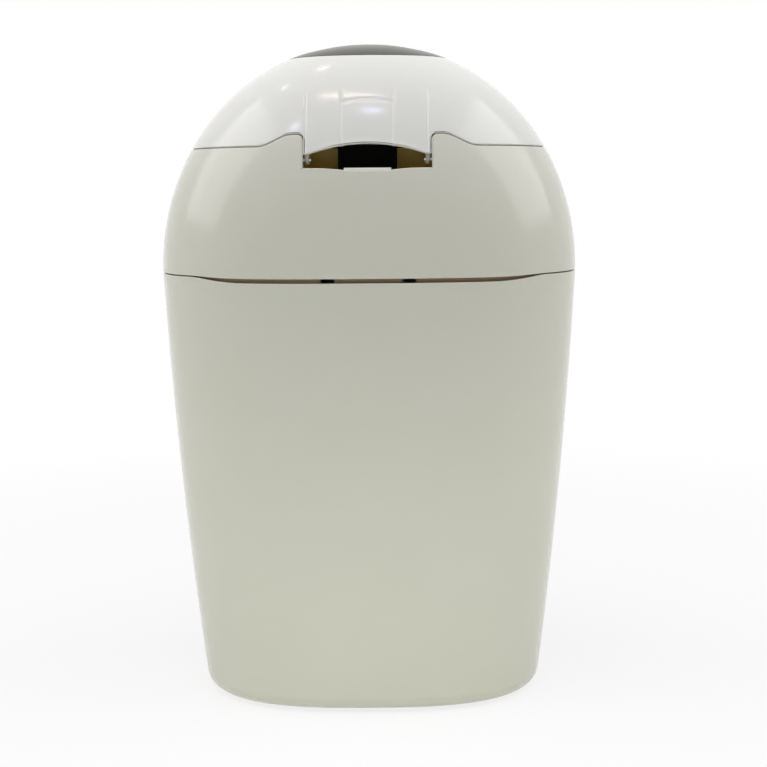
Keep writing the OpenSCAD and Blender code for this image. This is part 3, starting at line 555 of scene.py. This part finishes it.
def makeGrip():
    # A crescent: rounded sections carried along x, whose reach and thickness follow a half circle
    x = np.linspace(-1, 1, 41)[:, None] * grip["half"]
    fade = np.sqrt(np.clip(1 - (x / grip["half"]) ** 2, 0, 1))
    turn = np.radians(np.arange(0, 360, 15))
    back = skinY(domeSection, x, grip["z"] + 0 * x) - grip["root"]
    reach, half = grip["stub"] + grip["reach"] * fade, grip["thin"] + grip["thick"] * fade
    y = back + reach / 2 * (1 + signedPower(np.cos(turn), grip["powers"][0]))
    z = grip["z"] - grip["droop"] * fade + half * signedPower(np.sin(turn), grip["powers"][1])
    grid = np.stack([x + 0 * y, y, z], -1)
    index = gridNumbers(grid)
    faces = [gridFaces(index, True)[:, ::-1], index[:1, ::-1], index[-1:]]
    piece = newMesh("grip_lip", grid.reshape(-1, 3), faces)
    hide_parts("lid_grip")
    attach(piece, "lid")
    return piece


# Arms behind the tongue, round the hinge pin at axis (y, z). nose is half the width, and flare that at
# flareZ. pinWall is how far an arm reaches in front of the axis and behind it, the latter up to eyeTop
# above it. The tip leans back by lean for each mm below the axis
arm = dict(
    x=44.7, axis=(-98.8, 423.1), low=419.7, top=446.0, round=1.0, nose=1.95, flare=2.3, flareZ=429.5,
    flareRun=2.3, depth=6.4, pinWall=(3.4, 3.2), eyeTop=3.0, lean=0.4, gap=0.2, power=0.9)


def makeArms():
    # Superellipse levels, rounded in at the tip by a quarter circle, closed by a fan at both ends.
    # Half the width is a bell curve round flareZ over the nose, and the front keeps a gap to the lid's skin
    axisY, axisZ = arm["axis"]
    turn = np.radians(np.arange(0, 360, 10))
    tip = np.array([0.0, 0.1, 0.3, 0.6]) * arm["round"]
    rise = np.concatenate([tip, np.linspace(arm["round"], arm["top"] - arm["low"], 26)])[:, None]
    z = arm["low"] + rise
    inward = arm["round"] * (1 - np.sqrt(1 - np.clip(1 - rise / arm["round"], 0, 1) ** 2))
    bell = np.exp(-((z - arm["flareZ"]) / arm["flareRun"]) ** 2)
    half = arm["nose"] + (arm["flare"] - arm["nose"]) * bell
    skin = -skinY(domeSection, arm["x"] + 0 * z, z)
    front = np.maximum(skin + lid["wall"] + arm["gap"], axisY - arm["pinWall"][0])
    front = front + np.maximum(axisZ - z, 0) * arm["lean"]
    back = np.where(z < axisZ + arm["eyeTop"], axisY + arm["pinWall"][1], front + arm["depth"])
    across, along = signedPower(np.cos(turn), arm["power"]), signedPower(np.sin(turn), arm["power"])
    y = (front + back) / 2 + ((back - front) / 2 - inward) * along
    points, faces = [], []
    for side in (-1, 1):
        start = sum(len(p) for p in points)
        x = side * arm["x"] + (half - inward) * across
        grid = np.stack([x, y, z + 0 * x], -1)
        index = gridNumbers(grid, start)
        poles = [[side * arm["x"], (front[k, 0] + back[k, 0]) / 2, z[k, 0]] for k in (0, -1)]
        points.append(np.concatenate([grid.reshape(-1, 3), poles]))
        faces += [gridFaces(index, True), fanFaces(index[0, ::-1], start + index.size),
                  fanFaces(index[-1], start + index.size + 1)]
    piece = newMesh("hinge_arms", np.concatenate(points), faces)
    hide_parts("lid_hinge_arms")
    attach(piece, "lid")
    return piece


# Spring of the button: radius of its wire, turns, and how far the button presses it together
coil = dict(wire=0.35, turns=4.5, press=2.2)


def makeCoil():
    # Round wire carried along a helix between the housing and the flange of the button:
    # x and z turn at the coil's radius, y climbs evenly
    low, high = (np.array(corner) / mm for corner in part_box("button_spring"))
    middle, length, wire = (low + high) / 2, high[1] - low[1], coil["wire"]
    radius = (high[0] - low[0]) / 2 - wire
    share = np.linspace(0, 1, 140)[:, None]
    turn, around = 2 * math.pi * coil["turns"] * share, np.radians(np.arange(0, 360, 36))
    out = radius + wire * np.cos(around)
    y = low[1] + wire + share * (length - 2 * wire) + wire * np.sin(around)
    grid = np.stack([middle[0] + out * np.cos(turn), y, middle[2] + out * np.sin(turn)], -1)
    index = gridNumbers(grid)
    faces = [gridFaces(index, True), index[:1, ::-1], index[-1:]]
    piece = newMesh("button_coil", grid.reshape(-1, 3), faces)
    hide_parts("button_spring")
    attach(piece, "bin")
    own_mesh(piece)
    return piece


tub["piece"] = makeTub()
coil["piece"] = makeCoil()
print("tub and button spring made")
hood["piece"] = makeHood()
tab["piece"] = makeTab()
print("hood and stop tab made")
lid["piece"] = makeLid()
panel["piece"] = makePanel()
grip["piece"] = makeGrip()
arm["piece"] = makeArms()
print("lid, panel, grip and hinge arms made")


def linear(code):
    # sRGB hex to linear colour: c / 12.92 in the darks, ((c + 0.055) / 1.055)^2.4 above them
    c = np.array([int(code[k:k + 2], 16) for k in (1, 3, 5)]) / 255
    return (*np.where(c <= 0.04045, c / 12.92, ((c + 0.055) / 1.055) ** 2.4).tolist(), 1.0)


def addNode(tree, kind, settings=None, links=None):
    # Adds a shader node, sets its sockets and properties by name or number, and links sockets into it
    node = tree.nodes.new("ShaderNode" + kind)
    for key, value in (settings or {}).items():
        if isinstance(key, int) or key in node.inputs:
            node.inputs[key].default_value = value
        else:
            setattr(node, key, value)
    for key, socket in (links or {}).items():
        tree.links.new(socket, node.inputs[key])
    return node


def newMaterial(name):
    # A material with an empty node tree
    material = bpy.data.materials.new(name)
    material.use_nodes = True
    material.node_tree.nodes.clear()
    return material, material.node_tree


def plastic(name, colour, shade, rough, patch, grain, ior=1.5, more=None):
    # colour drifts to shade, and roughness between its two ends, over noise patches of a size in mm.
    # grain is (size in mm, depth in mm) for each noise bump, coarse ones first
    material, tree = newMaterial(name)
    place = addNode(tree, "TexCoord").outputs["Object"]
    patches = addNode(tree, "TexNoise", {"Scale": 1000 / patch, "Detail": 3.0}, {"Vector": place})
    drift = patches.outputs["Fac"]
    tint = addNode(tree, "Mix", {"data_type": "RGBA", 6: linear(colour), 7: linear(shade)}, {0: drift})
    gloss = addNode(tree, "MapRange", {
        "From Min": 0.3, "From Max": 0.7, "To Min": rough[0], "To Max": rough[1]}, {"Value": drift})
    normal = {}
    for size, depth in grain:
        bumps = addNode(tree, "TexNoise", {"Scale": 1000 / size, "Detail": 1.0}, {"Vector": place})
        bump = addNode(tree, "Bump", {"Strength": 1.0, "Distance": depth * mm},
                       {"Height": bumps.outputs["Fac"], **normal})
        normal = {"Normal": bump.outputs["Normal"]}
    surface = addNode(tree, "BsdfPrincipled", {"IOR": ior, **(more or {})}, {
        "Base Color": tint.outputs[2], "Roughness": gloss.outputs["Result"], **normal})
    addNode(tree, "OutputMaterial", links={"Surface": surface.outputs["BSDF"]})
    return material


# Steel: two greys, its ends of roughness, and the length, width and depth of a scratch in mm
steel = dict(colour="#B4B5B6", shade="#D2D2D0", rough=(0.24, 0.42), length=5.0, width=2 / 3, depth=0.004)


def makeSteel():
    # Drawn steel wire and turned pins: noise stretched along x gives a soft streak in the drawing
    # direction, and fine scratches that dull the shine. They are drawn coarser than they are
    material, tree = newMaterial("drawn_steel")
    place = addNode(tree, "TexCoord").outputs["Object"]
    scale = (1000 / steel["length"], 1000 / steel["width"], 1000 / steel["width"])
    along = addNode(tree, "Mapping", {"Scale": scale}, {"Vector": place})
    scratch = addNode(tree, "TexNoise", {"Scale": 1.0, "Detail": 2.0}, {"Vector": along.outputs["Vector"]})
    streak = scratch.outputs["Fac"]
    tint = addNode(tree, "Mix", {"data_type": "RGBA", 6: linear(steel["colour"]), 7: linear(steel["shade"])},
                   {0: streak})
    gloss = addNode(tree, "MapRange", {"To Min": steel["rough"][0], "To Max": steel["rough"][1]},
                    {"Value": streak})
    bump = addNode(tree, "Bump", {"Strength": 1.0, "Distance": steel["depth"] * mm}, {"Height": streak})
    surface = addNode(tree, "BsdfPrincipled", {"Metallic": 1.0}, {
        "Base Color": tint.outputs[2], "Roughness": gloss.outputs["Result"],
        "Normal": bump.outputs["Normal"]})
    addNode(tree, "OutputMaterial", links={"Surface": surface.outputs["BSDF"]})
    return material


# Grain that a polished tool leaves on ABS: long faint waves and a trace of orange peel
polished = [(34, 0.04), (1.1, 0.0012)]
# Grain that a spark-eroded tool leaves: fine and dull, drawn a little coarser than it is
eroded = [(0.7, 0.02)]

# White ABS of tub and hood: bright gloss on a warm white
glossAbs = plastic("gloss_white_abs", "#D9D9C9", "#D5D4C3", (0.13, 0.18), 70, polished)
# The lid's own copy of it, paler: partly a less yellowed batch, partly painted light, standing in for more
# light from above and in front on the lid
lidAbsWithPaintedLight = plastic("gloss_paler_white_abs_painted_light", "#E7E6DE", "#E3E2D9", (0.13, 0.18), 70, polished)
# Grey ABS of the panel, grip and button: polished like the shell, a little duller
greyAbs = plastic("gloss_grey_abs", "#403F33", "#3C3B2F", (0.2, 0.28), 60, polished)
# White ABS of the inner parts: matt, a shade warmer than the shell
satinAbs = plastic("satin_white_abs", "#D8D4C6", "#D0CBBB", (0.45, 0.6), 50, eroded)
# Cup behind the hinge window: white ABS painted bright khaki, a painted warm light standing in for light
# through the white shell into the cup's shade, so that the cup renders as an olive shade. Dull
cupAbsPaintedWarmLight = plastic("satin_white_abs_painted_warm_light", "#E2C870", "#D8BC64", (0.5, 0.65), 40, eroded)
# Collar inside the rim: painted brown, a painted shade standing in for the warm shade deep in the seam's gap,
# where the collar is seen only as a line against the white
collarPaintedSeamShade = plastic("satin_white_abs_painted_seam_shade", "#9C8269", "#8F765E", (0.5, 0.6), 40, eroded)
# Foam-covered damper: black and open, so that almost no light comes back from it. Its black is also a painted
# shade for the dark hollow behind the hinge window
blackFoamAndShade = plastic("black_foam_and_painted_shade", "#060606", "#0B0B0B", (0.85, 0.95), 30, [(0.9, 0.08)],
                    more={"Specular IOR Level": 0.1})
# Soft elastomer of feet, lips and seal: no gloss, fine pitting
softRubber = plastic("soft_black_rubber", "#1C1C1B", "#252423", (0.75, 0.9), 20, [(0.8, 0.03)])
# Polypropylene of the cassette: pale blue, milky and a little waxy
milkyPp = plastic("milky_blue_pp", "#C3D4DB", "#BACCD4", (0.35, 0.5), 40, [(9, 0.03), (0.8, 0.006)], 1.49,
                  {"Subsurface Weight": 0.12, "Subsurface Radius": (0.004, 0.005, 0.006)})
# Folded polyethylene film: blue, thin, glossy in crinkles
crinkledFilm = plastic("crinkled_blue_film", "#8FB6C8", "#A9C9D6", (0.25, 0.45), 12, [(7, 0.25), (1.6, 0.06)],
                       1.51)
drawnSteel = makeSteel()

# Which material each slot of the record gets. The collar, brown, and the lid, paler, have their own
finishes = dict(
    # The cup's slot gets white ABS with painted warm light
    shell_white=glossAbs, inner_white=satinAbs, inner_khaki=cupAbsPaintedWarmLight, panel_grey=greyAbs, steel=drawnSteel,
    dark_plastic=blackFoamAndShade, dark_rubber=softRubber, cassette_plastic=milkyPp, film=crinkledFilm)


def dress(obj, material):
    # Takes an object's materials off and puts one on
    obj.data.materials.clear()
    obj.data.materials.append(material)


slotOf = {part["node"]: part["material_slot"] for part in frame["record"]["subparts"]}
# The tub's collar, white in the record, is dressed in the brown painted seam shade
for node, obj in frame["nodes"].items():
    dress(obj, collarPaintedSeamShade if node == "tub_collar" else finishes[slotOf[node]])
# The lid skin gets the paler copy with painted light
for made, material in ((tub, glossAbs), (hood, glossAbs), (tab, glossAbs), (lid, lidAbsWithPaintedLight), (panel, greyAbs),
                       (grip, greyAbs), (arm, satinAbs), (coil, drawnSteel)):
    dress(made["piece"], material)
print("materials made")


# Lamps: place and aim in metres, width and height in metres, power in watts, colour. mirrored names those
# that show in gloss. The floor, floorHalf mm from the middle to each edge, shows the two floorShare of plain
# white at the two distances of floorFade, in metres
studio = dict(
    world=("#FFFFFF", 0.02),
    lamps=dict(
        overhead_box=((0, -0.32, 2.35), (0, 0, 0.25), (2.4, 2.6), 41.0, "#F2F4FF"),
        left_box=((-1.6, -0.1, 1.5), (0, 0, 0.25), (1.5, 1.5), 12.5, "#FFFFFF"),
        right_box=((1.6, -0.1, 1.5), (0, 0, 0.25), (1.5, 1.5), 12.5, "#FFFFFF"),
        low_left_box=((-2.05, 0, 0.69), (0, 0, 0.25), (1.2, 1.2), 2.7, "#FFFFFF"),
        low_right_box=((2.05, 0, 0.69), (0, 0, 0.25), (1.2, 1.2), 2.7, "#FFFFFF"),
        floor_board=((0, -0.62, 0.03), (0, -0.11, 0.12), (1.2, 0.5), 0.4, "#FBFFF4"),
        base_board=((0, -0.4, 0.012), (0, -0.12, 0.03), (0.9, 0.2), 0.6, "#FBFFF4"),
        ceiling_lamp_a=((0.02, -1.0, 2.45), (0, 0, 0.4), (0.1, 0.06), 0.9, "#C4CCFF"),
        ceiling_lamp_b=((-0.22, -0.57, 2.58), (0, 0, 0.4), (0.7, 0.04), 3.0, "#FFEFD2"),
        ceiling_lamp_c=((-0.48, 0.72, 2.5), (0, 0, 0.4), (0.05, 0.05), 0.5, "#FFEBC8"),
        ceiling_lamp_d=((-0.98, 0.47, 2.4), (0, 0, 0.4), (0.08, 0.05), 0.25, "#F0F2FF"),
        ceiling_lamp_e=((-0.89, -0.98, 2.28), (0, 0, 0.4), (0.1, 0.1), 0.9, "#DCE2FF")),
    mirrored=("left_box", "right_box", "ceiling_lamp_a", "ceiling_lamp_b", "ceiling_lamp_c", "ceiling_lamp_d",
              "ceiling_lamp_e"),
    floorHalf=4000.0, floorShare=(0.8, 1.0), floorFade=(0.3, 1.1), floorColour="#F2F2F0")


def makeLamps():
    # Rectangular lamps, each turned so that its back axis runs from its aim to its place
    for name, (place, aim, size, power, colour) in studio["lamps"].items():
        data = bpy.data.lights.new(name, "AREA")
        data.shape = "RECTANGLE"
        data.size, data.size_y = size
        data.energy, data.color = power, linear(colour)[:3]
        lamp = bpy.data.objects.new(name, data)
        lamp.location = place
        lamp.rotation_euler = (Vector(aim) - Vector(place)).to_track_quat("-Z", "Y").to_euler()
        lamp.visible_glossy = name in studio["mirrored"]
        bpy.context.scene.collection.objects.link(lamp)


def backgroundRays(tree):
    # 1 for the rays that see the background as plain white: the largest of camera, glossy and transmission
    path = addNode(tree, "LightPath").outputs
    rays = path["Is Camera Ray"]
    for name in ("Is Glossy Ray", "Is Transmission Ray"):
        rays = addNode(tree, "Math", {"operation": "MAXIMUM"}, {0: rays, 1: path[name]}).outputs[0]
    return rays


def makeWorld():
    # Plain white for background rays, and a dim even light for all others
    colour, strength = studio["world"]
    world = bpy.data.worlds.new("studio")
    world.use_nodes = True
    bpy.context.scene.world = world
    tree = world.node_tree
    tree.nodes.clear()
    dim = addNode(tree, "Background", {"Color": linear(colour), "Strength": strength})
    white = addNode(tree, "Background", {"Color": (1, 1, 1, 1), "Strength": 1.0})
    mix = addNode(tree, "MixShader", {}, {0: backgroundRays(tree), 1: dim.outputs[0], 2: white.outputs[0]})
    addNode(tree, "OutputWorld", links={"Surface": mix.outputs[0]})


def makeFloor():
    # Pale paper that keeps the shadow near the bin. For background rays it is a mix with plain white,
    # whose share grows evenly with the distance from the origin
    x, y = np.meshgrid(np.linspace(-1, 1, 5), np.linspace(-1, 1, 5))
    grid = np.stack([x, y, 0 * x], -1) * studio["floorHalf"]
    floor = newMesh("pale_floor", grid.reshape(-1, 3), [gridFaces(gridNumbers(grid))])
    material, tree = newMaterial("pale_paper")
    place = addNode(tree, "TexCoord").outputs["Object"]
    away = addNode(tree, "VectorMath", {"operation": "LENGTH"}, {0: place}).outputs["Value"]
    (near, far), (low, high) = studio["floorFade"], studio["floorShare"]
    fade = addNode(tree, "MapRange", {"From Min": near, "From Max": far, "To Min": low, "To Max": high},
                   {"Value": away}).outputs["Result"]
    share = addNode(tree, "Math", {"operation": "MULTIPLY"}, {0: fade, 1: backgroundRays(tree)})
    paper = addNode(tree, "BsdfDiffuse", {"Color": linear(studio["floorColour"])})
    glow = addNode(tree, "Emission", {"Color": (1, 1, 1, 1), "Strength": 1.0})
    mix = addNode(tree, "MixShader", {}, {0: share.outputs[0], 1: paper.outputs[0], 2: glow.outputs[0]})
    addNode(tree, "OutputMaterial", links={"Surface": mix.outputs[0]})
    dress(floor, material)


makeLamps()
makeWorld()
makeFloor()
bpy.context.scene.view_settings.view_transform = "Standard"
print("studio made")
